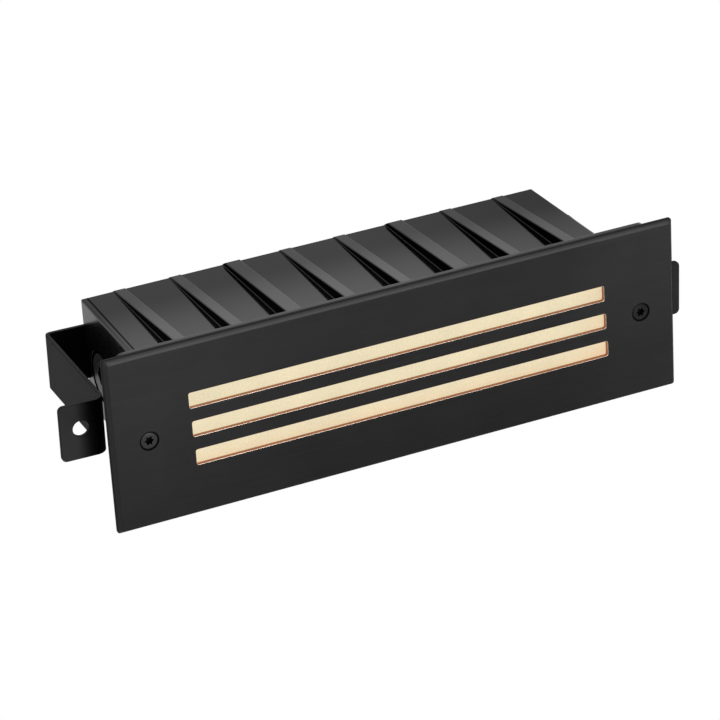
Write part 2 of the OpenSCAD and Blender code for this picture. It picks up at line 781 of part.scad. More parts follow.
module ground_lead() {
    color([0.1, 0.45, 0.15])
        lead([[[block_x - block_l / 2, block_lead_y, block_h / 4], [-1, 0, 0]],
            [[ground_x, rear_inner_y - ground_boss_h - lug_barrel_d / 2, lug_end_z], [0, 0, -1]]],
            [0, 1, 0]);
}

module ground_lug() {
    seat_y = rear_inner_y - ground_boss_h;
    color([0.75, 0.76, 0.78]) translate([ground_x, 0, 0]) difference() {
        union() {
            translate([0, 0, ground_z]) rod_y(lug_d, seat_y - lug_t, seat_y);
            span_box([-lug_barrel_d / 2, seat_y - lug_t, ground_z],
                [lug_barrel_d / 2, seat_y, lug_end_z - lug_barrel_l]);
            translate([0, seat_y - lug_barrel_d / 2, lug_end_z - lug_barrel_l])
                cylinder(h = lug_barrel_l, d = lug_barrel_d, $fn = round_fn);
        }
        translate([0, 0, ground_z])
            rod_y(ground_screw_d + 2 * seat_gap, seat_y - lug_t - overrun, seat_y + overrun);
    }
}

module ground_screw() {
    color([0.15, 0.5, 0.2]) translate([ground_x, 0, ground_z])
        pan_head_screw(rear_inner_y - ground_boss_h - lug_t, ground_screw_d - seat_gap,
            ground_screw_head_d, ground_screw_head_h, ground_screw_l, -1);
}

module conduit_plug() {
    face_x = half_w_at(entry_y) - plug_sink;
    hex_d = plug_hex_af / cos(30);
    color([0.13, 0.13, 0.13]) translate([0, entry_y, -entry_drop]) difference() {
        rod_x(entry_d - 2 * seat_gap, -face_x, -face_x + plug_l);
        difference() {
            rod_x(entry_d + overrun, -face_x - overrun, -face_x + plug_groove_depth);
            rod_x(entry_d - 2 * plug_groove_w, -face_x - 2 * overrun, -face_x + plug_l);
        }
        translate([-face_x - overrun, 0, 0]) rotate([0, 90, 0])
            cylinder(h = plug_hex_depth + overrun, d = hex_d, $fn = 6);
    }
}

// Bent strip seen from above: rear web, arms and tabs, for the half where x is positive
module strap_half_section() {
    arm_x = strap_span / 2;
    rear_out_r = strap_rear_r + strap_t;
    tab_out_r = tab_bend_r + strap_t;
    square_to([0, strap_y], [arm_x - rear_out_r, strap_back_y]);
    quarter_bend([arm_x - rear_out_r, strap_back_y - rear_out_r], strap_rear_r, 0);
    square_to([arm_x - strap_t, tab_setback + tab_out_r], [arm_x, strap_back_y - rear_out_r]);
    quarter_bend([arm_x + tab_bend_r, tab_setback + tab_out_r], tab_bend_r, 180);
    square_to([arm_x + tab_bend_r, tab_setback], [tab_span / 2, tab_setback + strap_t]);
}

module square_to(low, high) {
    translate(low) square(high - low);
}

// A quarter of a bend round a centre, with its inner radius, turned by an angle
module quarter_bend(centre, inner_r, turn) {
    outer_r = inner_r + strap_t;
    translate(centre) rotate(turn) intersection() {
        difference() {
            circle(r = outer_r, $fn = round_fn);
            circle(r = inner_r, $fn = round_fn);
        }
        square([outer_r + overrun, outer_r + overrun]);
    }
}

module strap() {
    color([0.14, 0.14, 0.145]) at_strap_screw() rotate([0, strap_turn, 0]) difference() {
        intersection() {
            translate([0, 0, -strap_w / 2]) linear_extrude(strap_w) {
                strap_half_section();
                mirror([1, 0]) strap_half_section();
            }
            along_y(tab_setback - overrun, strap_back_y + overrun)
                round_rect(tab_span, strap_w, tab_corner_r);
        }
        rod_y(strap_hole_d, strap_y - overrun, strap_back_y + overrun);
        for (s = [-1, 1]) translate([s * tab_hole_span / 2, 0, tab_hole_rise])
            rod_y(tab_hole_d, tab_setback - overrun, tab_setback + strap_t + overrun);
    }
}

module strap_insert() {
    color([0.75, 0.6, 0.3]) at_strap_screw() difference() {
        rod_y(strap_insert_d - 2 * seat_gap, box_depth - strap_insert_l, box_depth - seat_gap);
        rod_y(strap_screw_d + 2 * seat_gap, box_depth - strap_insert_l - overrun, box_depth + overrun);
    }
}

module strap_screw() {
    color([0.2, 0.2, 0.2]) at_strap_screw() pan_head_screw(strap_head_y, strap_screw_d,
        strap_screw_head_d, strap_screw_head_h, strap_screw_l, 1);
}

module strap_washer() {
    color([0.7, 0.7, 0.7]) at_strap_screw() difference() {
        rod_y(washer_d, washer_y, washer_y + washer_t);
        rod_y(washer_hole_d, washer_y - overrun, washer_y + washer_t + overrun);
    }
}

module spring_washer() {
    color([0.6, 0.6, 0.6]) at_strap_screw() difference() {
        rod_y(spring_washer_d, spring_washer_y, spring_washer_y + spring_washer_t);
        rod_y(washer_hole_d, spring_washer_y - overrun, spring_washer_y + spring_washer_t + overrun);
        along_y(spring_washer_y - overrun, spring_washer_y + spring_washer_t + overrun)
            translate([0, -spring_washer_split / 2]) square([spring_washer_d, spring_washer_split]);
    }
}

faceplate();
plate_screws();
plate_inserts();
wall_gasket();
lens();
lens_gasket();
housing();
reflector_pan();
pan_screws();
led_board();
leds();
board_screws();
board_socket();
pan_grommet();
driver();
driver_screws();
terminal_block();
terminal_screws();
block_screws();
supply_leads();
board_leads();
ground_lead();
ground_lug();
ground_screw();
conduit_plug();
strap();
strap_insert();
strap_screw();
strap_washer();
spring_washer();
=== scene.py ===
"""Looks of a recessed step light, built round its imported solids.

The faceplate, its screws, the strap and the side plug are modelled here with the fine edges that
catch light. The cast housing and the pieces inside it keep their solids and get their finishes.
"""

import math

import bmesh
import bpy
from bpy.props import FloatProperty, FloatVectorProperty, IntProperty, PointerProperty
from mathutils import Matrix, Vector


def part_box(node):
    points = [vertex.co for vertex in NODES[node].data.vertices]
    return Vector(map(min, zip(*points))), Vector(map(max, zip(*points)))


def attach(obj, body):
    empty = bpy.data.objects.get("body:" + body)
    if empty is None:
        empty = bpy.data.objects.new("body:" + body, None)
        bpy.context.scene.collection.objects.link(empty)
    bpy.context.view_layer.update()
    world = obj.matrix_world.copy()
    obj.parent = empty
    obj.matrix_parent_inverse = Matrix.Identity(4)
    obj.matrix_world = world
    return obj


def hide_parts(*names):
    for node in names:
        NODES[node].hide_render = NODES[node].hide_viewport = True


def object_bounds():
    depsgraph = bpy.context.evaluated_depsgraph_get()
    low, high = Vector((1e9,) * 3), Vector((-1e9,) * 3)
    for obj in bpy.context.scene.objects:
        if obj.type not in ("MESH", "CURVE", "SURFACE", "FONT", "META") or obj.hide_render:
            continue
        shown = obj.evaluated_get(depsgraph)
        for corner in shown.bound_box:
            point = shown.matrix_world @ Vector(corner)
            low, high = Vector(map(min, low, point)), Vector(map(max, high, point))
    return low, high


bl_info = {
    "name": "Step Light Dresser",
    "version": (1, 0, 0),
    "blender": (4, 5, 0),
    "location": "3D View > Sidebar > Step Light",
    "description": "Models and finishes a recessed louvred step light and sets it on a studio stage",
    "category": "Object",
}

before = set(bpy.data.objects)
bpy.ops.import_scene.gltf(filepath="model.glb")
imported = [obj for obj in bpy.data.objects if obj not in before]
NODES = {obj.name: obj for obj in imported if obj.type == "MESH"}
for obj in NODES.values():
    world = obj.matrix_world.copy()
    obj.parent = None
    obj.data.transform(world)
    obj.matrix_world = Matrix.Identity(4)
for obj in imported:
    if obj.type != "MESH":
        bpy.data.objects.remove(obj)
CAD_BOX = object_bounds()

PLATE_LOW, PLATE_HIGH = (Vector(c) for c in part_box("faceplate"))
LENS_RIGHT = Vector(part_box("lens")[1]).x
CHANNEL_LOW, CHANNEL_HIGH = (Vector(c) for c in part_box("lens_gasket"))
PLUG_LOW, PLUG_HIGH = (Vector(c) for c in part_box("conduit_plug"))
SCREWS_END = Vector(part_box("plate_screws")[1]).y
STRAP_LOW, STRAP_HIGH = (Vector(c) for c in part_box("strap"))

MM = 0.001
RIGHT, LEFT, BACK, FRONT, UP = (1, 0, 0), (-1, 0, 0), (0, 1, 0), (0, -1, 0), (0, 0, 1)
# Two places closer than this are the same
EPS = 1e-6
# Faces larger than this are shaded flat
FLAT_AREA = 20 * MM * MM
# How far a cutter starts outside the piece
OUTSIDE = MM
# Room in front of the lens gasket, and round it, in the faceplate's pocket
POCKET_GAP, POCKET_ROOM = 0.02 * MM, 0.3 * MM
# A face of a slot is its wall, or its rim, where its normal turns less to the front than this
WALL_TURN, RIM_TURN = 0.3, 0.95
# Straight rim of a faceplate screw's head, and the rounding of its front edge
HEAD_RIM, HEAD_EDGE = 0.35 * MM, 0.12 * MM
# Hollows of a screw's socket as a share of its lobes' radius, and the rounding of both
HOLLOW_SHARE, LOBE_EDGE = 0.6, 0.25 * MM
# Depth that the strap's holes are drilled to
DRILL_DEPTH = 4 * MM
# Slope of the housing's sides, and the rear face of its flange
BOX_DRAFT, FLANGE_BACK = 0.0247, 6.6 * MM
# Distance of the housing's seam from its middle, and the width of the painted dark line of shade that draws
# it
SEAM_X, SEAM_WIDTH = -93.8 * MM, 0.9 * MM
# Height along the sides' slope at which the housing's faces that look left start to take painted shade, and
# at which they are fully shaded
SHADE_START, SHADE_END = 24.1 * MM, 24.6 * MM
# Where the lens turns warm: over this height at its lower edge, over this width at its right end
WARM_LOW, WARM_END = (-8.5 * MM, -15.0 * MM), (LENS_RIGHT - 15 * MM, LENS_RIGHT - 2 * MM)
# Part of a noise's values that a change is spread over
MIDDLE = (0.3, 0.7)
# Lamps of the studio: name, place, width and height, power
LAMPS = (("top_softbox", (0.1, 0.5, 1.3), (1.6, 1.0), 14.0),
         ("left_softbox", (-1.6, 0.1, 0.6), (0.8, 1.2), 8.0),
         ("front_softbox", (0.22, -1.5, 0.45), (0.45, 0.9), 18.0))


# Sizes and colours that a user would change

def length_prop(name, description, mm):
    return FloatProperty(name=name, description=description, default=mm * MM, unit="LENGTH", min=0.0)


def angle_prop(name, description, degrees):
    return FloatProperty(name=name, description=description, default=math.radians(degrees),
                         subtype="ANGLE")


def number_prop(name, description, default):
    return FloatProperty(name=name, description=description, default=default, min=0.0)


def colour_prop(name, description, default):
    return FloatVectorProperty(name=name, description=description, default=default, size=3,
                               subtype="COLOR", min=0.0, max=1.0)


class StepLightForm(bpy.types.PropertyGroup):
    """Sizes of the modelled pieces"""

    slot_length: length_prop("Slot Length", "Length of a light slot", 167.7)
    slot_height: length_prop("Slot Height", "Height of a light slot", 6.1)
    slot_pitch: length_prop("Slot Pitch", "Distance from one slot to the next", 11.6)
    slot_shift: length_prop("Slot Shift", "How far the slots lie right of the plate's middle", 0.9)
    slot_rise: length_prop("Slot Rise", "How far the slots lie over the plate's middle", 0.15)
    slot_stagger: length_prop("Slot Stagger", "How far each slot lies left of the one below", 0.5)
    slot_corner: length_prop("Slot Corner", "Radius of a slot's corners", 0.7)
    slot_edge: length_prop("Slot Edge", "Chamfer on a slot's front edge", 0.16)
    sink_radius: length_prop("Sink Radius", "Radius of a screw's sink in the plate's front", 3.7)
    sink_depth: length_prop("Sink Depth", "Depth of the sink's straight rim", 0.45)
    screw_head: length_prop("Screw Head", "Radius of a faceplate screw's head", 3.15)
    screw_shank: length_prop("Screw Shank", "Radius of a faceplate screw", 2.0)
    screw_sink: length_prop("Screw Sink", "How far a screw's head lies under the plate's front", 0.3)
    socket: length_prop("Socket", "Radius over the lobes of a screw's socket", 2.0)
    socket_depth: length_prop("Socket Depth", "Depth of a screw's socket", 1.9)
    hole_radius: length_prop("Hole Radius", "Radius of a screw hole", 2.25)
    strap_width: length_prop("Strap Width", "Width of the steel strip", 22.2)
    strap_thick: length_prop("Strap Thickness", "Thickness of the steel strip", 1.5)
    strap_span: length_prop("Strap Span", "Width over the strap's arms", 219.9)
    tab_reach: length_prop("Tab Reach", "How far a tab stands out past its arm", 16.8)
    tab_bend: length_prop("Tab Bend", "Inner radius where a tab leaves its arm", 3.0)
    rear_bend: length_prop("Rear Bend", "Inner radius at the strap's rear corners", 1.0)
    tab_corner: length_prop("Tab Corner", "Radius of a tab's corners", 2.0)
    tab_hole: length_prop("Tab Hole", "Radius of the holes in the tabs", 3.1)
    tab_hole_inset: length_prop("Tab Hole Inset", "From a tab's end to its hole", 8.1)
    tab_hole_rise: length_prop("Tab Hole Rise", "How far the holes lie over the strip's middle", 1.0)
    strap_hole: length_prop("Strap Hole", "Radius of the hole for the strap's screw", 2.58)
    strap_edge: length_prop("Strap Edge", "Rounding of the strip's edges", 0.2)
    strap_drop: length_prop("Strap Drop", "How far the strap's screw lies under the middle", 1.7)
    strap_turn: angle_prop("Strap Turn", "Angle of the strap on its screw", 1.1)
    slot_count: IntProperty(name="Slots", description="Number of light slots", default=3, min=1, max=3)
    plug_groove: length_prop("Plug Groove", "Width of the groove round the side plug", 1.3)
    plug_groove_depth: length_prop("Plug Groove Depth", "Depth of the groove round the side plug", 1.6)
    plug_socket: length_prop("Plug Socket", "Width over the flats of the side plug's socket", 8.0)
    plug_socket_depth: length_prop("Plug Socket Depth", "Depth of the side plug's socket", 5.0)
    plate_corner: length_prop("Plate Corner", "Radius of the faceplate's corners", 1.0)
    plate_slope: length_prop("Plate Slope", "How far the plate's sides slope out to its back", 1.2)
    plate_edge: length_prop("Plate Edge", "Rounding of the faceplate's front edge", 0.2)


class StepLightFinish(bpy.types.PropertyGroup):
    """Colours of the finishes"""

    plate_colour: colour_prop("Plate", "Coat of the faceplate", (0.004, 0.004, 0.004))
    housing_colour: colour_prop("Housing", "Coat of the cast housing", (0.0025, 0.0025, 0.0025))
    strap_colour: colour_prop("Strap", "Coat of the strap", (0.020, 0.020, 0.020))
    plug_colour: colour_prop("Plug", "Coat of the side plug", (0.030, 0.030, 0.030))
    slot_colour: colour_prop("Slot Wall", "Walls of the slots", (0.46, 0.17, 0.08))
    # The slot rim's colour is a painted highlight on the chamfer round the slots
    rim_highlight_colour: colour_prop("Slot Rim", "Painted highlight on the chamfer round the slots", (0.58, 0.45, 0.36))
    glow_colour: colour_prop("Glow", "Light of the frosted lens", (0.85, 0.74, 0.49))
    glow_warm: colour_prop("Warm Glow", "Light of the lens near its lower edge", (0.86, 0.62, 0.38))
    glow_strength: number_prop("Glow Strength", "Brightness of the lens", 0.88)


class StepLightStage(bpy.types.PropertyGroup):
    """Camera, lamps and floor"""

    azimuth: angle_prop("Azimuth", "Camera's turn to the left of the light", 23.0851)
    elevation: angle_prop("Elevation", "Camera's height over the light", 26.9678)
    roll: angle_prop("Roll", "Camera's roll", -3.6127)
    camera_place: FloatVectorProperty(name="Camera Place", description="Where the camera stands", size=3,
                                      default=(-0.46649, -1.05929, 0.59473), subtype="XYZ", unit="LENGTH")
    focal_mm: number_prop("Focal Length", "Focal length on a 36 mm sensor, in mm", 177.112)
    floor_drop: length_prop("Floor Drop", "How far the floor lies under the light", 240.0)
    sky_diffuse: number_prop("Sky", "Light of the sky on matt surfaces", 0.3)
    sky_middle: number_prop("Sky Middle", "Sky that shiny faces mirror, half way up", 0.85)
    sky_top: number_prop("Sky Top", "What the sky overhead adds to that", 1.2)


# Modelling by hand

def deselect_all():
    for obj in bpy.context.selected_objects:
        obj.select_set(False)


def take(obj):
    """Make one object the only selected one, and the active one."""
    deselect_all()
    obj.select_set(True)
    bpy.context.view_layer.objects.active = obj


def place_in_mesh(obj):
    take(obj)
    bpy.ops.object.transform_apply(location=True, rotation=True, scale=True)


def mesh_box(obj):
    """Low and high corner of an object's own points."""
    corners = [obj.matrix_world @ v.co for v in obj.data.vertices]
    return [[end(c[i] for c in corners) for i in range(3)] for end in (min, max)]


def name_it(obj, name):
    obj.name = name
    obj.data.name = name
    return obj


def add_block(name, low, high):
    low, high = Vector(low), Vector(high)
    deselect_all()
    bpy.ops.mesh.primitive_cube_add(size=1.0, location=(low + high) / 2)
    obj = name_it(bpy.context.active_object, name)
    obj.scale = high - low
    place_in_mesh(obj)
    return obj


def add_rod(name, start, end, radius, sides=64):
    """A round bar between two points."""
    start, end = Vector(start), Vector(end)
    deselect_all()
    bpy.ops.mesh.primitive_cone_add(vertices=sides, radius1=radius, radius2=radius,
                                    depth=(end - start).length, location=(start + end) / 2)
    obj = name_it(bpy.context.active_object, name)
    obj.rotation_mode = "QUATERNION"
    obj.rotation_quaternion = Vector((0, 0, 1)).rotation_difference(end - start)
    place_in_mesh(obj)
    return obj


def pick(obj, kind, test):
    """Enter edit mode on obj and select its parts of one kind, VERT, EDGE or FACE, that pass the test."""
    take(obj)
    bpy.ops.object.mode_set(mode="EDIT")
    bpy.ops.mesh.select_mode(type=kind)
    bpy.ops.mesh.select_all(action="DESELECT")
    work = bmesh.from_edit_mesh(obj.data)
    for part in {"VERT": work.verts, "EDGE": work.edges, "FACE": work.faces}[kind]:
        part.select_set(bool(test(part)))
    work.select_flush_mode()
    bmesh.update_edit_mesh(obj.data)


def leave_edit():
    bpy.ops.object.mode_set(mode="OBJECT")


def bevel_edges(obj, test, offset, segments):
    """Round the edges of obj whose two ends pass the test."""
    pick(obj, "EDGE", lambda edge: test(edge.verts[0].co, edge.verts[1].co))
    bpy.ops.mesh.bevel(offset=offset, segments=segments, affect="EDGES")
    leave_edit()


def slope_sides(obj, y, slope):
    """Draw the face of obj in the plane y in by the slope at each side, so that its sides slope."""
    low, high = (Vector(c) for c in mesh_box(obj))
    size = high - low
    pick(obj, "VERT", lambda vert: abs(vert.co.y - y) < EPS)
    bpy.ops.transform.resize(value=(1 - 2 * slope / size.x, 1, 1 - 2 * slope / size.z),
                             center_override=(low + high) / 2)
    leave_edit()


def along_y(a, b):
    """Whether the edge from a to b runs along Y."""
    return abs(a.x - b.x) < EPS and abs(a.z - b.z) < EPS


def along_z(a, b):
    """Whether the edge from a to b runs along Z."""
    return abs(a.x - b.x) < EPS and abs(a.y - b.y) < EPS


def in_plane(y):
    """A test that the edge from a to b passes when it lies in the plane y."""
    return lambda a, b: abs(a.y - y) < EPS and abs(b.y - y) < EPS


def extrude_round(obj, y, steps, x):
    """Lengthen a bar along Y from its end at y: each step gives a new end and how it shrinks there."""
    for end, shrink in steps:
        pick(obj, "FACE", lambda face: all(abs(v.co.y - y) < EPS for v in face.verts))
        bpy.ops.mesh.extrude_region_move(TRANSFORM_OT_translate={"value": (0, end - y, 0)})
        bpy.ops.transform.resize(value=(shrink, 1, shrink), center_override=(x, end, 0))
        leave_edit()
        y = end


def soften(obj, width, segments=2, angle=40.0):
    """Round every sharp edge of obj a little."""
    take(obj)
    step = obj.modifiers.new("soften", "BEVEL")
    step.width = width
    step.segments = segments
    step.limit_method = "ANGLE"
    step.angle_limit = math.radians(angle)
    step.harden_normals = False
    bpy.ops.object.modifier_apply(modifier=step.name)


def cut(obj, tools):
    """Take each tool's shape away from obj."""
    for tool in tools:
        take(obj)
        step = obj.modifiers.new("cut", "BOOLEAN")
        step.operation = "DIFFERENCE"
        step.solver = "EXACT"
        step.object = tool
        bpy.ops.object.modifier_apply(modifier=step.name)
        bpy.data.objects.remove(tool)


def join(name, objects):
    deselect_all()
    for obj in objects:
        obj.select_set(True)
    bpy.context.view_layer.objects.active = objects[0]
    bpy.ops.object.join()
    return name_it(bpy.context.active_object, name)


def finish_piece(obj, body, materials, angle=35.0):
    """Smooth the piece's soft faces, give it its materials and let it ride on a body."""
    take(obj)
    bpy.ops.object.shade_smooth_by_angle(angle=math.radians(angle))
    obj.data.materials.clear()
    for material in materials:
        obj.data.materials.append(material)
    for face in obj.data.polygons:
        if face.area > FLAT_AREA:
            face.use_smooth = False
    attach(obj, body)
    return obj


def paint(obj, name, test):
    """Give one of the piece's materials to the faces that pass the test."""
    index = obj.data.materials.find(name)
    for face in obj.data.polygons:
        if test(face):
            face.material_index = index


# Shader nodes

class Tree:
    """Adds nodes to one node tree and joins them."""

    def __init__(self, tree):
        self.tree = tree

    def add(self, kind, inputs=None, **settings):
        node = self.tree.nodes.new(kind)
        for key, value in settings.items():
            setattr(node, key, value)
        self.give(node, inputs or {})
        return node

    def give(self, node, inputs):
        """Set or link each of the named inputs of a node."""
        for key, value in inputs.items():
            self.feed(node.inputs[key], value)

    def feed(self, socket, value):
        if isinstance(value, bpy.types.NodeSocket):
            self.tree.links.new(value, socket)
        else:
            socket.default_value = value

    def ramp(self, fac, low, high, low_value=0.0, high_value=1.0, kind="LINEAR"):
        """A value that goes from low_value to high_value while fac goes from low to high."""
        inputs = {"Value": fac, "From Min": low, "From Max": high, "To Min": low_value,
                  "To Max": high_value}
        node = self.add("ShaderNodeMapRange", inputs, interpolation_type=kind, clamp=True)
        return node.outputs["Result"]

    def about(self, fac, value, spread):
        """The value, less and more by the spread while fac goes through its middle part."""
        return self.ramp(fac, *MIDDLE, value * (1.0 - spread), value * (1.0 + spread))

    def mix(self, fac, a, b):
        """The colour a where fac is 0, b where it is 1. Sockets 6 and 7 take a mix's colours."""
        node = self.add("ShaderNodeMix", data_type="RGBA")
        for key, value in ((0, fac), (6, a), (7, b)):
            self.feed(node.inputs[key], value)
        return node.outputs[2]

    def maths(self, operation, a, b=0.0):
        return self.add("ShaderNodeMath", {0: a, 1: b}, operation=operation).outputs[0]

    def times(self, first, *others):
        for other in others:
            first = self.maths("MULTIPLY", first, other)
        return first

    def vectors(self, operation, a, b):
        """Product, dot product or scaled copy of the vector a; b is a number where a is scaled."""
        second = "Scale" if operation == "SCALE" else 1
        node = self.add("ShaderNodeVectorMath", {0: a, second: b}, operation=operation)
        return node.outputs["Value" if operation == "DOT_PRODUCT" else 0]

    def noise(self, where, scale, detail, roughness=0.5):
        inputs = {"Vector": where, "Scale": scale, "Detail": detail, "Roughness": roughness}
        return self.add("ShaderNodeTexNoise", inputs).outputs[0]

    def coordinates(self):
        return self.add("ShaderNodeTexCoord").outputs

    def split(self, vector, axis):
        return self.add("ShaderNodeSeparateXYZ", {"Vector": vector}).outputs[axis]


def new_group(name, inputs, outputs):
    """A shader node group; inputs and outputs are lists of (name, kind, default)."""
    group = bpy.data.node_groups.new(name, "ShaderNodeTree")
    for direction, sockets in (("INPUT", inputs), ("OUTPUT", outputs)):
        for label, kind, default in sockets:
            socket = group.interface.new_socket(name=label, in_out=direction, socket_type=kind)
            if default is not None:
                socket.default_value = default
    tree = Tree(group)
    return group, tree, tree.add("NodeGroupInput").outputs, tree.add("NodeGroupOutput").inputs


FLOAT = "NodeSocketFloat"
VECTOR = "NodeSocketVector"


def powder_coat_group():
    """Fine orange peel of a baked coat, with slow shifts in its sheen. Sizes are in mm."""
    group, tree, given, out = new_group(
        "Powder Coat",
        [("Grain Size", FLOAT, 0.4), ("Grain Depth", FLOAT, 0.15), ("Round Edge", FLOAT, 0.3)],
        [("Normal", VECTOR, None), ("Mottle", FLOAT, None)])
    where = tree.coordinates()["Object"]
    grain = tree.noise(where, tree.maths("DIVIDE", 1 / MM, given["Grain Size"]), 2.0)
    radius = tree.times(given["Round Edge"], MM)
    soft = tree.add("ShaderNodeBevel", {"Radius": radius}, samples=6)
    bump = tree.add("ShaderNodeBump", {"Strength": given["Grain Depth"], "Distance": 0.05 * MM,
                                       "Height": grain, "Normal": soft.outputs[0]})
    tree.feed(out["Normal"], bump.outputs[0])
    tree.feed(out["Mottle"], tree.noise(where, 38.0, 3.0, 0.55))
    return group


def painted_edge_shade_group():
    """Mask of a thin band of painted shade beside each edge, leaving the edge's own rounding clear."""
    group, tree, given, out = new_group("Painted Edge Shade", [("Width", FLOAT, 0.8)], [("Line", FLOAT, None)])
    radius = tree.times(given["Width"], MM)
    soft = tree.add("ShaderNodeBevel", {"Radius": radius}, samples=8).outputs[0]
    true = tree.add("ShaderNodeNewGeometry").outputs["True Normal"]
    bend = tree.maths("SUBTRACT", 1.0, tree.vectors("DOT_PRODUCT", soft, true))
    near = tree.ramp(bend, 0.004, 0.04)
    rim = tree.ramp(bend, 0.14, 0.24)
    tree.feed(out["Line"], tree.times(near, tree.maths("SUBTRACT", 1.0, rim)))
    return group


def slow_fade_group():
    """Slow change along one axis, on the faces that look one way: painted light and shade in a coat's
    sheen, and changes in its roughness.
    """
    group, tree, given, out = new_group(
        "Slow Fade", [("Axis", VECTOR, None), ("Start", FLOAT, 0.0), ("End", FLOAT, 1.0),
                      ("Low", FLOAT, 0.5), ("High", FLOAT, 1.0), ("Facing", VECTOR, None)],
        [("Fade", FLOAT, None)])
    where = tree.coordinates()
    along = tree.vectors("DOT_PRODUCT", where["Object"], given["Axis"])
    fade = tree.ramp(along, given["Start"], given["End"], given["Low"], given["High"], "SMOOTHSTEP")
    facing = tree.vectors("DOT_PRODUCT", where["Normal"], given["Facing"])
    change = tree.times(tree.ramp(facing, 0.4, 0.9), tree.maths("SUBTRACT", fade, 1.0))
    tree.feed(out["Fade"], tree.maths("ADD", 1.0, change))
    return group


def brushed_group():
    """Long fine scratches along X, as left by brushing before the coat. Sizes are in mm."""
    group, tree, given, out = new_group(
        "Brushed Lines", [("Line Length", FLOAT, 60.0), ("Line Width", FLOAT, 0.25)],
        [("Lines", FLOAT, None)])
    where = tree.coordinates()["Object"]
    across = tree.maths("DIVIDE", 1 / MM, given["Line Width"])
    along = tree.maths("DIVIDE", 1 / MM, given["Line Length"])
    stretch = tree.add("ShaderNodeCombineXYZ", {"X": along, "Y": across, "Z": across}).outputs[0]
    laid = tree.vectors("MULTIPLY", where, stretch)
    tree.feed(out["Lines"], tree.noise(laid, 1.0, 3.0, 0.65))
    return group


def seam_group():
    """Mask of a painted dark line of shade standing for a fine straight groove, on the faces that look up,
    from Start to the rear.
    """
    group, tree, given, out = new_group(
        "Seam", [("Axis", VECTOR, None), ("Place", FLOAT, 0.0), ("Width", FLOAT, MM),
                 ("Start", FLOAT, 0.0)], [("Seam", FLOAT, None)])
    where = tree.coordinates()
    across = tree.vectors("DOT_PRODUCT", where["Object"], given["Axis"])
    off = tree.maths("ABSOLUTE", tree.maths("SUBTRACT", across, given["Place"]))
    near = tree.ramp(tree.maths("DIVIDE", off, given["Width"]), 0.35, 0.55, 1.0, 0.0)
    behind = tree.maths("GREATER_THAN", tree.split(where["Object"], "Y"), given["Start"])
    top = tree.maths("GREATER_THAN", tree.split(where["Normal"], "Z"), 0.9)
    tree.feed(out["Seam"], tree.times(near, behind, top))
    return group


def frost_group():
    """Clouds and fine grain of a frosted sheet, as a value round a half. The grain's size is in mm."""
    group, tree, given, out = new_group(
        "Frost", [("Grain Size", FLOAT, 0.5), ("Grain Share", FLOAT, 0.5)], [("Frost", FLOAT, None)])
    where = tree.coordinates()["Object"]
    grain = tree.noise(where, tree.maths("DIVIDE", 1 / MM, given["Grain Size"]), 2.0)
    cloud = tree.noise(where, 60.0, 2.0)
    fine = tree.times(grain, given["Grain Share"])
    rest = tree.times(cloud, tree.maths("SUBTRACT", 1.0, given["Grain Share"]))
    tree.feed(out["Frost"], tree.maths("ADD", fine, rest))
    return group


GROUPS = {}


def group_node(tree, name, inputs):
    makers = {"Powder Coat": powder_coat_group, "Brushed Lines": brushed_group, "Frost": frost_group,
              "Painted Edge Shade": painted_edge_shade_group, "Slow Fade": slow_fade_group, "Seam": seam_group}
    if name not in GROUPS:
        GROUPS[name] = makers[name]()
    return tree.add("ShaderNodeGroup", inputs, node_tree=GROUPS[name])


def new_material(name):
    material = bpy.data.materials.new(name)
    material.use_nodes = True
    tree = Tree(material.node_tree)
    shader = material.node_tree.nodes["Principled BSDF"]
    return material, tree, shader


def rgba(colour, share=1.0):
    """A share of the colour, with full cover."""
    return (*(share * c for c in colour), 1.0)


def slow_fade(tree, fade):
    """Output of a Slow Fade group for a fade: (axis, start, end, low, high, facing)."""
    inputs = dict(zip(("Axis", "Start", "End", "Low", "High", "Facing"), fade))
    return group_node(tree, "Slow Fade", inputs).outputs["Fade"]


def everywhere(share, facing):
    """A fade that changes all the faces that look one way by the same share."""
    return UP, -1.0, 1.0, share, share, facing


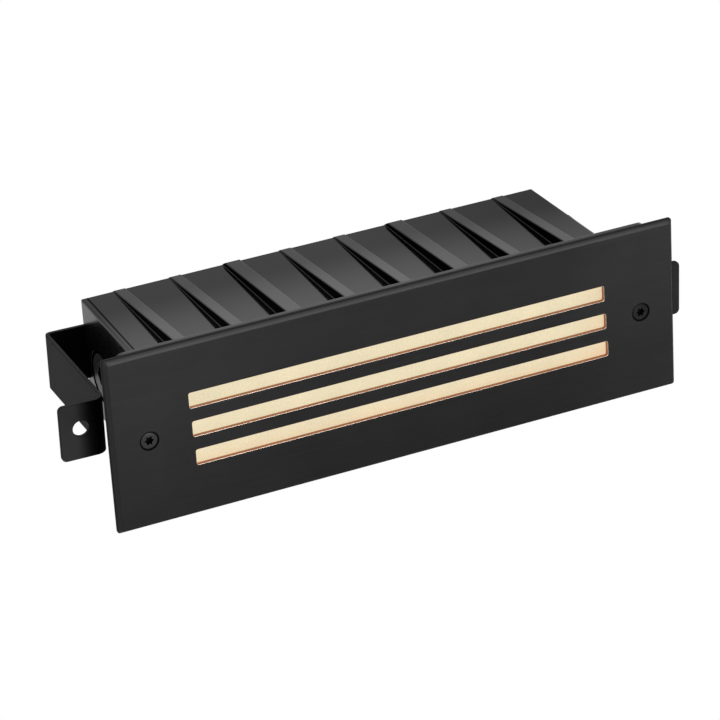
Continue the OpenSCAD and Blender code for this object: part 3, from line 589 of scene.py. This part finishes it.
def coated_metal(name, colour, roughness, grain_size, grain_depth, round_edge=0.0, spread=0.25,
                 lines=None, specular=0.5, edge_shade=(0.8, 0.0), painted_fades=(), matt=(), seam=None):
    """A baked dark coat.

    With lines given, (length, width, share), brushing shows through it. edge_shade is the width and
    depth of a band of painted shade beside its edges. Each painted fade, (axis, start, end, low, high,
    facing), slowly changes its colour and sheen as painted light and shade, and each matt change, given
    in the same way, its roughness. A seam, (axis, place, width, start), is a fine groove in its top,
    drawn only as a painted dark line of shade.
    """
    material, tree, shader = new_material(name)
    coat = group_node(tree, "Powder Coat", {"Grain Size": grain_size, "Grain Depth": grain_depth,
                                            "Round Edge": round_edge}).outputs
    tone = tree.about(coat["Mottle"], 1.0, spread)
    rough = tree.about(coat["Mottle"], roughness, 0.1)
    if lines:
        length, width, share = lines
        brushed = group_node(tree, "Brushed Lines", {"Line Length": length, "Line Width": width})
        streak = tree.about(brushed.outputs["Lines"], 1.0, share)
        tone = tree.times(tone, streak)
        rough = tree.times(rough, streak)
    changes = []
    # Painted shade in a thin band beside each edge
    width, depth = edge_shade
    if depth:
        line = group_node(tree, "Painted Edge Shade", {"Width": width})
        changes.append(tree.ramp(line.outputs["Line"], 0.0, 1.0, 1.0, 1.0 - depth))
    # Each painted fade adds painted light and shade along one axis
    changes.extend(slow_fade(tree, fade) for fade in painted_fades)
    for change in matt:
        rough = tree.times(rough, slow_fade(tree, change))
    # The seam's groove is not cut: it is drawn as a painted dark line of shade
    if seam:
        groove = group_node(tree, "Seam", dict(zip(("Axis", "Place", "Width", "Start"), seam)))
        changes.append(tree.ramp(groove.outputs["Seam"], 0.0, 1.0, 1.0, 0.08))
    shader.inputs["Specular IOR Level"].default_value = specular
    # All these changes are painted light and shade; they scale both the colour and the shine
    if changes:
        sheen = tree.times(*changes)
        tone = tree.times(tone, sheen)
        tree.feed(shader.inputs["Specular IOR Level"], tree.times(sheen, specular))
    tree.give(shader, {"Base Color": tree.vectors("SCALE", colour, tone), "Roughness": rough,
                       "Normal": coat["Normal"]})
    return material


def one_colour(name, colour, roughness, grain, worn, spread, metallic):
    """A finish of one colour, part of it worn darker. grain gives the powder coat's three sizes."""
    material, tree, shader = new_material(name)
    inputs = dict(zip(("Grain Size", "Grain Depth", "Round Edge"), grain))
    coat = group_node(tree, "Powder Coat", inputs).outputs
    tree.give(shader, {"Base Color": tree.mix(coat["Mottle"], rgba(colour, worn), rgba(colour)),
                       "Roughness": tree.about(coat["Mottle"], roughness, spread),
                       "Normal": coat["Normal"], "Metallic": metallic})
    return material


def plain_metal(name, colour, roughness):
    """Plated or bare metal with fine tool marks."""
    return one_colour(name, colour, roughness, (0.3, 0.1, 0.15), worn=0.85, spread=0.2, metallic=1.0)


def moulded_plastic(name, colour, roughness, grain_size=0.5, grain_depth=0.1):
    grain = (grain_size, grain_depth, 0.25)
    return one_colour(name, colour, roughness, grain, worn=0.9, spread=0.15, metallic=0.0)


def sponge_rubber(name, colour):
    """Closed-cell sponge with open pores at its cut edge."""
    material, tree, shader = new_material(name)
    where = tree.coordinates()["Object"]
    cells = tree.add("ShaderNodeTexVoronoi", {"Vector": where, "Scale": 2600.0}).outputs["Distance"]
    pore = tree.ramp(cells, 0.1, 0.5)
    bump = tree.add("ShaderNodeBump", {"Strength": 0.6, "Distance": 0.1 * MM, "Height": pore})
    tree.give(shader, {"Base Color": tree.mix(pore, rgba(colour, 0.4), rgba(colour)), "Roughness": 0.85,
                       "Normal": bump.outputs[0], "Specular IOR Level": 0.15})
    return material


def painted_recess_shade(name):
    """Near-black painted shade for the inside of a small deep recess, which lets no light out."""
    material, tree, shader = new_material(name)
    tree.give(shader, {"Base Color": rgba((0.001, 0.001, 0.001)), "Roughness": 0.7,
                       "Specular IOR Level": 0.05})
    return material


def slot_wall(name, colour):
    """Walls and chamfers of the slots, where the coat is thin and the warm light shines on it; on the
    chamfers its colour is a painted highlight.
    """
    material, tree, shader = new_material(name)
    brushed = group_node(tree, "Brushed Lines", {"Line Length": 9.0, "Line Width": 0.5})
    streak = tree.ramp(brushed.outputs["Lines"], *MIDDLE)
    tree.give(shader, {"Base Color": tree.mix(streak, rgba(colour, 0.6), rgba(colour)),
                       "Metallic": 0.5, "Roughness": 0.38})
    return material


def glowing_lens(name, finish):
    """Frosted sheet, lit from behind: warmer towards its lower edge and its right end."""
    material, tree, shader = new_material(name)
    place = tree.coordinates()["Object"]
    frost = group_node(tree, "Frost", {"Grain Size": 0.9, "Grain Share": 0.6}).outputs["Frost"]
    low = tree.ramp(tree.split(place, "Z"), *WARM_LOW, 0.05, 0.5)
    end = tree.ramp(tree.split(place, "X"), *WARM_END, 0.0, 0.5)
    warmth = tree.maths("ADD", low, end)
    warmth = tree.maths("ADD", warmth, tree.ramp(frost, 0.35, 0.65, -0.12, 0.12))
    glow = tree.mix(warmth, rgba(finish.glow_colour), rgba(finish.glow_warm))
    bump = tree.add("ShaderNodeBump", {"Strength": 0.2, "Distance": 0.1 * MM, "Height": frost})
    tree.give(shader, {"Emission Color": tree.vectors("SCALE", glow, tree.about(frost, 1.0, 0.11)),
                       "Emission Strength": finish.glow_strength, "Roughness": 0.6,
                       "Base Color": rgba((0.05, 0.045, 0.035)), "Normal": bump.outputs[0]})
    return material


def dress_node(name, material):
    """Give a CAD node its finish."""
    obj = NODES[name]
    obj.data.materials.clear()
    obj.data.materials.append(material)


# The pieces

class STEPLIGHT_OT_faceplate(bpy.types.Operator):
    """Faceplate with three long slots, fine chamfers and countersunk holes"""

    bl_idname = "steplight.faceplate"
    bl_label = "Faceplate"

    def execute(self, context):
        form, finish = context.scene.step_form, context.scene.step_finish
        front, back = PLATE_LOW.y, PLATE_HIGH.y
        plate = add_block("louvred_faceplate", PLATE_LOW, PLATE_HIGH)
        bevel_edges(plate, along_y, form.plate_corner, segments=6)
        slope_sides(plate, front, form.plate_slope)
        on_front = in_plane(front)
        bevel_edges(plate, on_front, form.plate_edge, segments=3)
        cut(plate, self.cutters(form, front - OUTSIDE, back + OUTSIDE))
        bevel_edges(plate, lambda a, b: on_front(a, b) and self.slot_of(form, a) is not None
                    and self.slot_of(form, a) == self.slot_of(form, b), form.slot_edge, segments=2)
        # The plate's coat carries painted light and shade along its fades and in a band beside its edges
        coat = coated_metal("plate_coat", finish.plate_colour, roughness=0.42, grain_size=0.5,
                            grain_depth=0.22, spread=0.2, lines=(30.0, 0.45, 0.30), specular=0.19,
                            edge_shade=(0.6, 0.35), painted_fades=self.painted_light_and_shade())
        wall, rim = slot_wall("slot_wall", finish.slot_colour), slot_wall("slot_rim_highlight", finish.rim_highlight_colour)
        finish_piece(plate, "fixture", [coat, wall, painted_recess_shade("sink_painted_shade"), rim])
        # Painted shade inside the screws' sinks
        paint(plate, "sink_painted_shade", lambda face: face.center.y > front + EPS
              and from_screw(face.center) < form.sink_radius)
        # Painted highlight: the chamfer round each slot takes the light rim colour
        paint(plate, "slot_rim_highlight", lambda face: abs(face.normal.y) < RIM_TURN
              and self.on_slot_rim(form, face.center))
        paint(plate, "slot_wall", lambda face: abs(face.normal.y) < WALL_TURN
              and self.slot_of(form, face.center) is not None)
        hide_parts("faceplate")
        return {"FINISHED"}

    def cutters(self, form, low_y, high_y):
        """The cutters of the slots, of the pocket for the lens gasket and of the two screws' sinks."""
        tools = [self.slot_tool(form, i, low_y, high_y) for i in range(form.slot_count)]
        low = CHANNEL_LOW.x - POCKET_ROOM, CHANNEL_LOW.y - POCKET_GAP, CHANNEL_LOW.z - POCKET_ROOM
        high = CHANNEL_HIGH.x + POCKET_ROOM, high_y, CHANNEL_HIGH.z + POCKET_ROOM
        tools.append(add_block("pocket", low, high))
        wide, narrow = form.sink_radius, form.hole_radius
        floor = PLATE_LOW.y + form.sink_depth
        for x in (-screw_x(), screw_x()):
            sink = add_rod("sink", (x, low_y, 0), (x, floor, 0), wide)
            extrude_round(sink, floor, ((floor + wide - narrow, narrow / wide), (high_y, 1.0)), x)
            tools.append(sink)
        return tools

    @staticmethod
    def painted_light_and_shade():
        """Painted light and shade: the front shines more towards its top and both ends, the sloping top
        side at its front.
        """
        front, back = PLATE_LOW.y, PLATE_HIGH.y
        return ((UP, -0.034, 0.030, 0.85, 1.15, FRONT), (BACK, front, back, 1.6, 0.6, UP),
                (LEFT, 0.02, 0.11, 1.0, 1.25, FRONT), (RIGHT, 0.05, 0.11, 1.0, 1.3, FRONT))

    @staticmethod
    def slot_middle(form, i):
        step = i - (form.slot_count - 1) / 2
        x, z = form.slot_shift - step * form.slot_stagger, form.slot_rise + step * form.slot_pitch
        return Vector((x, 0, z))

    def slot_tool(self, form, i, low_y, high_y):
        """The cutter of slot i."""
        middle = self.slot_middle(form, i)
        half = Vector((form.slot_length / 2, 0, form.slot_height / 2))
        low, high = middle - half, middle + half
        low.y, high.y = low_y, high_y
        tool = add_block("slot", low, high)
        bevel_edges(tool, along_y, form.slot_corner, segments=4)
        return tool

    def on_slot_rim(self, form, place):
        """Whether a point of the plate lies on the chamfer round a slot."""
        near = self.slot_of(form, place, form.slot_edge) is not None
        return near and place.y < PLATE_LOW.y + form.slot_edge

    def slot_of(self, form, place, room=EPS):
        """Which slot a point lies in, counting the room round it, or None."""
        for i in range(form.slot_count):
            off = place - self.slot_middle(form, i)
            if abs(off.x) < form.slot_length / 2 + room and abs(off.z) < form.slot_height / 2 + room:
                return i
        return None


def screw_x():
    """Distance from the middle to a faceplate screw."""
    low, high = (Vector(c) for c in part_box("plate_inserts"))
    reach = (high.z - low.z) / 2
    return high.x - reach


def from_screw(place):
    """How far a place lies from the axis of the nearest faceplate screw."""
    return math.hypot(abs(place.x) - screw_x(), place.z)


class STEPLIGHT_OT_housing(bpy.types.Operator):
    """Cast housing and its gasket"""

    bl_idname = "steplight.housing"
    bl_label = "Housing"

    def execute(self, context):
        finish = context.scene.step_finish
        # The housing's coat carries painted light and shade, a band of painted shade beside its edges and
        # the seam's painted dark line
        coat = coated_metal("housing_coat", finish.housing_colour, roughness=0.12, grain_size=0.6,
                            grain_depth=0.05, round_edge=0.38, spread=0.1, edge_shade=(0.9, 0.6),
                            painted_fades=self.painted_light_and_shade(), matt=(everywhere(2.1, LEFT),), seam=self.seam())
        dress_node("housing", coat)
        dress_node("wall_gasket", sponge_rubber("wall_sponge", (0.008, 0.008, 0.008)))
        return {"FINISHED"}

    @staticmethod
    def painted_light_and_shade():
        """Painted shade on the housing: its top to the rear and right, faces looking left above the top's
        level, its front.
        """
        level = (0, BOX_DRAFT, 1)
        return ((BACK, 0.012, 0.062, 1.0, 0.22, UP), (RIGHT, 0.0, 0.10, 1.0, 0.5, UP),
                (level, SHADE_START, SHADE_END, 1.0, 0.01, LEFT), everywhere(0.03, FRONT))

    @staticmethod
    def seam():
        """The fine groove along the top, beside its left edge, drawn as a painted dark line of shade."""
        return (1, -BOX_DRAFT, 0), SEAM_X, SEAM_WIDTH, FLANGE_BACK


class STEPLIGHT_OT_plug(bpy.types.Operator):
    """Side plug with a deep groove round its face and a hex socket"""

    bl_idname = "steplight.plug"
    bl_label = "Side Plug"

    def execute(self, context):
        form, finish = context.scene.step_form, context.scene.step_finish
        face, end = PLUG_LOW.x, PLUG_HIGH.x
        middle = (PLUG_LOW + PLUG_HIGH) / 2
        radius = (PLUG_HIGH.z - PLUG_LOW.z) / 2
        plug = self.bar("grooved_plug", middle, face, end, radius)
        start, floor = face - OUTSIDE, face + form.plug_groove_depth
        ring = self.bar("ring", middle, start, floor, radius + OUTSIDE)
        cut(ring, [self.bar("core", middle, start - OUTSIDE, end, radius - form.plug_groove)])
        socket = self.bar("socket", middle, start, face + form.plug_socket_depth,
                          form.plug_socket / math.sqrt(3), sides=6)
        cut(plug, [ring, socket])
        coat = coated_metal("plug_coat", finish.plug_colour, roughness=0.42, grain_size=0.5,
                            grain_depth=0.12, round_edge=0.3)
        finish_piece(plug, "fixture", [coat, painted_recess_shade("groove_painted_shade")])
        # Painted shade in the groove round the plug's face, its socket and its hidden sides
        paint(plug, "groove_painted_shade", lambda part: part.center.x > face + EPS)
        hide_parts("conduit_plug")
        return {"FINISHED"}

    @staticmethod
    def bar(name, middle, start, end, radius, sides=64):
        """A bar along X through the plug's middle."""
        ends = [(x, middle.y, middle.z) for x in (start, end)]
        return add_rod(name, *ends, radius, sides=sides)


class STEPLIGHT_OT_strap(bpy.types.Operator):
    """Bent strap with its screw and washers, and the other zinc-plated screws"""

    bl_idname = "steplight.strap"
    bl_label = "Strap"

    def execute(self, context):
        form, finish = context.scene.step_form, context.scene.step_finish
        strap = self.bend_strip(form)
        self.drill(form, strap)
        soften(strap, form.strap_edge)
        strap.location.z = -form.strap_drop
        strap.rotation_euler.y = form.strap_turn
        place_in_mesh(strap)
        # The strap's coat carries painted shade on its left tab and beside its edges
        coat = coated_metal("strap_coat", finish.strap_colour, roughness=0.6, grain_size=0.4,
                            grain_depth=0.12, specular=0.03, edge_shade=(0.6, 0.6), painted_fades=self.tab_painted_shade())
        finish_piece(strap, "strap", [coat])
        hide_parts("strap")
        dress_node("strap_screw", plain_metal("black_oxide", (0.06, 0.06, 0.062), 0.35))
        zinc = plain_metal("zinc_plate", (0.62, 0.62, 0.6), 0.3)
        for name in ("strap_washer", "spring_washer", "pan_screws", "board_screws", "driver_screws",
                     "block_screws"):
            dress_node(name, zinc)
        return {"FINISHED"}

    @staticmethod
    def tab_painted_shade():
        """Painted shade on the left tab towards its arm; the second fade gives the right tab its sheen
        back.
        """
        return ((RIGHT, -0.121, -0.112, 1.25, 0.125, FRONT), (RIGHT, -0.05, 0.05, 1.0, 8.0, FRONT))

    @staticmethod
    def bend_strip(form):
        """The strip with its rear web, two arms and two tabs, level and centred on its screw."""
        front, back, thick = STRAP_LOW.y, STRAP_HIGH.y, form.strap_thick
        arm, half_z = form.strap_span / 2, form.strap_width / 2
        tip, inner, over = arm + form.tab_reach, arm - thick, 2 * OUTSIDE
        high = half_z + over
        strip = add_block("bent_strap", (-tip, front, -half_z), (tip, back, half_z))
        inside = add_block("inside", (-inner, front - over, -high), (inner, back - thick, high))
        bevel_edges(inside, lambda a, b: along_z(a, b) and a.y > front, form.rear_bend, segments=4)
        tools = [inside]
        for side in (-1, 1):
            near, far = sorted((side * arm, side * (tip + over)))
            behind = add_block("behind", (near, front + thick, -high), (far, back + over, high))
            bevel_edges(behind, lambda a, b: along_z(a, b) and a.y < back and abs(a.x) < arm + EPS,
                        form.tab_bend, segments=6)
            tools.append(behind)
        cut(strip, tools)
        bevel_edges(strip, lambda a, b: along_z(a, b) and a.y > back - EPS
                    and abs(abs(a.x) - arm) < EPS, form.rear_bend + thick, segments=6)
        bevel_edges(strip, lambda a, b: along_z(a, b) and a.y < front + EPS
                    and abs(abs(a.x) - inner) < EPS, form.tab_bend + thick, segments=8)
        bevel_edges(strip, lambda a, b: along_y(a, b) and abs(a.x) > tip - EPS, form.tab_corner,
                    segments=5)
        return strip

    @staticmethod
    def drill(form, strip):
        """Cut the middle hole and the two holes in the tabs."""
        front, back = STRAP_LOW.y, STRAP_HIGH.y
        hole_x = form.strap_span / 2 + form.tab_reach - form.tab_hole_inset
        tools = [add_rod("middle_hole", (0, back - DRILL_DEPTH, 0), (0, back + OUTSIDE, 0),
                         form.strap_hole)]
        for x in (-hole_x, hole_x):
            start = Vector((x, front - OUTSIDE, form.tab_hole_rise))
            end = Vector((x, front + DRILL_DEPTH, form.tab_hole_rise))
            tools.append(add_rod("tab_hole", start, end, form.tab_hole))
        cut(strip, tools)


class STEPLIGHT_OT_screws(bpy.types.Operator):
    """Countersunk faceplate screws with six-lobe sockets"""

    bl_idname = "steplight.screws"
    bl_label = "Faceplate Screws"

    def execute(self, context):
        form = context.scene.step_form
        # The fade darkens the right screw's head as painted shade
        steel = coated_metal("screw_black", (0.008, 0.008, 0.008), roughness=0.34, grain_size=0.2,
                             grain_depth=0.08, specular=0.35,
                             painted_fades=((RIGHT, 0.0, 0.09, 1.0, 0.5, FRONT),))
        screws = [self.make_screw(form, side * screw_x()) for side in (-1, 1)]
        pair = join("lobed_screws", screws)
        finish_piece(pair, "fixture", [steel, painted_recess_shade("socket_painted_shade")])
        deep = PLATE_LOW.y + 2 * form.screw_sink
        # Painted shade inside the sockets
        paint(pair, "socket_painted_shade", lambda face: face.center.y > deep
              and from_screw(face.center) < form.socket)
        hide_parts("plate_screws")
        return {"FINISHED"}

    def make_screw(self, form, x):
        face = PLATE_LOW.y + form.screw_sink
        neck = face + HEAD_RIM + form.screw_head - form.screw_shank
        screw = add_rod("screw", (x, face, 0), (x, face + HEAD_RIM, 0), form.screw_head)
        extrude_round(screw, face + HEAD_RIM,
                      ((neck, form.screw_shank / form.screw_head), (SCREWS_END, 1.0)), x)
        bevel_edges(screw, in_plane(face), HEAD_EDGE, segments=2)
        cut(screw, [self.lobed_tool(form, x, face - OUTSIDE, face + form.socket_depth)])
        return screw

    @staticmethod
    def lobed_tool(form, x, low_y, high_y):
        """Cutter of a six-lobe socket: a twelve-sided bar with every other edge drawn in, then rounded."""
        def in_hollow(vert):
            step = round(math.degrees(math.atan2(vert.co.z, vert.co.x - x)) / 30)
            return step % 2 == 1

        tool = add_rod("lobes", (x, low_y, 0), (x, high_y, 0), form.socket, sides=12)
        pick(tool, "VERT", in_hollow)
        bpy.ops.transform.resize(value=(HOLLOW_SHARE, 1, HOLLOW_SHARE), center_override=(x, 0, 0))
        leave_edit()
        bevel_edges(tool, along_y, LOBE_EDGE, segments=3)
        return tool


class STEPLIGHT_OT_light_engine(bpy.types.Operator):
    """Lens, reflector pan, board, driver, terminal block and leads"""

    bl_idname = "steplight.light_engine"
    bl_label = "Light Engine"

    def execute(self, context):
        finish = context.scene.step_finish
        dress_node("lens", glowing_lens("lens_frost", finish))
        brass = plain_metal("brass_turned", (0.72, 0.52, 0.24), 0.3)
        nylon = moulded_plastic("nylon", (0.78, 0.77, 0.72), 0.45)
        finishes = {
            "lens_gasket": moulded_plastic("silicone", (0.72, 0.72, 0.69), 0.5),
            "reflector_pan": moulded_plastic("white_enamel", (0.86, 0.86, 0.84), 0.4),
            "led_board": moulded_plastic("solder_mask", (0.84, 0.84, 0.82), 0.35),
            "leds": moulded_plastic("phosphor", (0.9, 0.68, 0.2), 0.5),
            "board_socket": nylon,
            "pan_grommet": sponge_rubber("grommet_rubber", (0.03, 0.03, 0.03)),
            "driver": moulded_plastic("driver_case", (0.8, 0.8, 0.77), 0.5, 0.8, 0.25),
            "terminal_block": nylon,
            "terminal_screws": brass,
            "plate_inserts": brass,
            "strap_insert": brass,
            "supply_leads": moulded_plastic("black_insulation", (0.02, 0.02, 0.02), 0.4),
            "board_leads": moulded_plastic("red_insulation", (0.42, 0.03, 0.02), 0.4),
            "ground_lead": moulded_plastic("green_insulation", (0.02, 0.22, 0.05), 0.4),
            "ground_lug": plain_metal("tinned_copper", (0.66, 0.66, 0.64), 0.35),
            "ground_screw": plain_metal("green_screw", (0.05, 0.3, 0.1), 0.4),
        }
        for name, material in finishes.items():
            dress_node(name, material)
        return {"FINISHED"}


# The stage

def aim_camera(camera, stage):
    turn, rise, roll = stage.azimuth, stage.elevation, stage.roll
    forward = Vector((math.sin(turn) * math.cos(rise), math.cos(turn) * math.cos(rise), -math.sin(rise)))
    right = Vector((math.cos(turn), -math.sin(turn), 0.0))
    up = right.cross(forward)
    right_rolled = math.cos(roll) * right + math.sin(roll) * up
    up_rolled = -math.sin(roll) * right + math.cos(roll) * up
    facing = Matrix((right_rolled, up_rolled, -forward)).transposed()
    camera.matrix_world = Matrix.Translation(stage.camera_place) @ facing.to_4x4()


def add_lamp(name, place, size, power):
    """A soft lamp that shines on the light's middle."""
    lamp = bpy.data.lights.new(name, "AREA")
    lamp.shape = "RECTANGLE"
    lamp.size, lamp.size_y = size
    lamp.energy = power
    obj = bpy.data.objects.new(name, lamp)
    bpy.context.scene.collection.objects.link(obj)
    obj.location = place
    obj.rotation_mode = "QUATERNION"
    obj.rotation_quaternion = (-Vector(place)).to_track_quat("-Z", "Y")


class STEPLIGHT_OT_stage(bpy.types.Operator):
    """Pale floor, soft studio light, white surroundings and the camera"""

    bl_idname = "steplight.stage"
    bl_label = "Stage"

    def execute(self, context):
        stage = context.scene.step_stage
        scene = context.scene
        scene.view_settings.view_transform = "Standard"
        self.add_floor(stage)
        self.light_sky(scene, stage)
        for lamp in LAMPS:
            add_lamp(*lamp)
        camera = bpy.data.objects.new("camera", bpy.data.cameras.new("camera"))
        scene.collection.objects.link(camera)
        camera.data.sensor_width = 36.0
        camera.data.lens = stage.focal_mm
        camera.data.clip_start = 0.01
        camera.data.clip_end = 50.0
        aim_camera(camera, stage)
        scene.camera = camera
        return {"FINISHED"}

    @staticmethod
    def add_floor(stage):
        deselect_all()
        bpy.ops.mesh.primitive_plane_add(size=12.0, location=(0, 0, CAD_BOX[0][2] - stage.floor_drop))
        floor = name_it(bpy.context.active_object, "floor")
        place_in_mesh(floor)
        material, tree, shader = new_material("pale_floor")
        tree.give(shader, {"Base Color": rgba((0.8, 0.8, 0.8)), "Roughness": 0.9})
        white = tree.add("ShaderNodeEmission", {"Color": rgba((1.0, 1.0, 1.0)), "Strength": 1.0})
        seen = tree.add("ShaderNodeLightPath").outputs["Is Camera Ray"]
        mixed = tree.add("ShaderNodeMixShader", {0: seen, 1: shader.outputs[0], 2: white.outputs[0]})
        out = material.node_tree.nodes["Material Output"]
        tree.feed(out.inputs["Surface"], mixed.outputs[0])
        floor.data.materials.append(material)

    @staticmethod
    def light_sky(scene, stage):
        world = bpy.data.worlds.new("studio_sky")
        scene.world = world
        world.use_nodes = True
        tree = Tree(world.node_tree)
        background = world.node_tree.nodes["Background"]
        rays = tree.add("ShaderNodeLightPath").outputs
        seen = tree.maths("MAXIMUM", rays["Is Camera Ray"], rays["Is Transmission Ray"])
        height = tree.split(tree.coordinates()["Generated"], "Z")
        wall = tree.ramp(height, 0.15, 0.5, 1.0, stage.sky_middle)
        ceiling = tree.ramp(height, 0.6, 0.95, 0.0, stage.sky_top)
        mirrored = tree.maths("ADD", wall, ceiling)
        matt = tree.maths("SUBTRACT", 1.0, tree.maths("MAXIMUM", seen, rays["Is Glossy Ray"]))
        light = tree.maths("ADD", seen, tree.times(matt, stage.sky_diffuse))
        shine = tree.times(rays["Is Glossy Ray"], mirrored)
        tree.give(background, {"Color": rgba((1.0, 1.0, 1.0)), "Strength": tree.maths("ADD", light, shine)})


class STEPLIGHT_PT_panel(bpy.types.Panel):
    """Lists the step light's pieces"""

    bl_label = "Step Light"
    bl_idname = "STEPLIGHT_PT_panel"
    bl_space_type = "VIEW_3D"
    bl_region_type = "UI"
    bl_category = "Step Light"

    def draw(self, context):
        for operator in OPERATORS:
            self.layout.operator(operator.bl_idname)
        for group in (context.scene.step_form, context.scene.step_finish, context.scene.step_stage):
            box = self.layout.box()
            for name in group.__annotations__:
                box.prop(group, name)


OPERATORS = (STEPLIGHT_OT_faceplate, STEPLIGHT_OT_screws, STEPLIGHT_OT_housing, STEPLIGHT_OT_plug,
             STEPLIGHT_OT_strap, STEPLIGHT_OT_light_engine, STEPLIGHT_OT_stage)
CLASSES = (StepLightForm, StepLightFinish, StepLightStage, *OPERATORS, STEPLIGHT_PT_panel)


def register():
    for cls in CLASSES:
        bpy.utils.register_class(cls)
    bpy.types.Scene.step_form = PointerProperty(type=StepLightForm)
    bpy.types.Scene.step_finish = PointerProperty(type=StepLightFinish)
    bpy.types.Scene.step_stage = PointerProperty(type=StepLightStage)


def unregister():
    del bpy.types.Scene.step_stage
    del bpy.types.Scene.step_finish
    del bpy.types.Scene.step_form
    for cls in reversed(CLASSES):
        bpy.utils.unregister_class(cls)


def main():
    register()
    bpy.ops.steplight.faceplate()
    bpy.ops.steplight.screws()
    bpy.ops.steplight.housing()
    bpy.ops.steplight.plug()
    bpy.ops.steplight.strap()
    bpy.ops.steplight.light_engine()
    bpy.ops.steplight.stage()


if __name__ == "__main__":
    main()
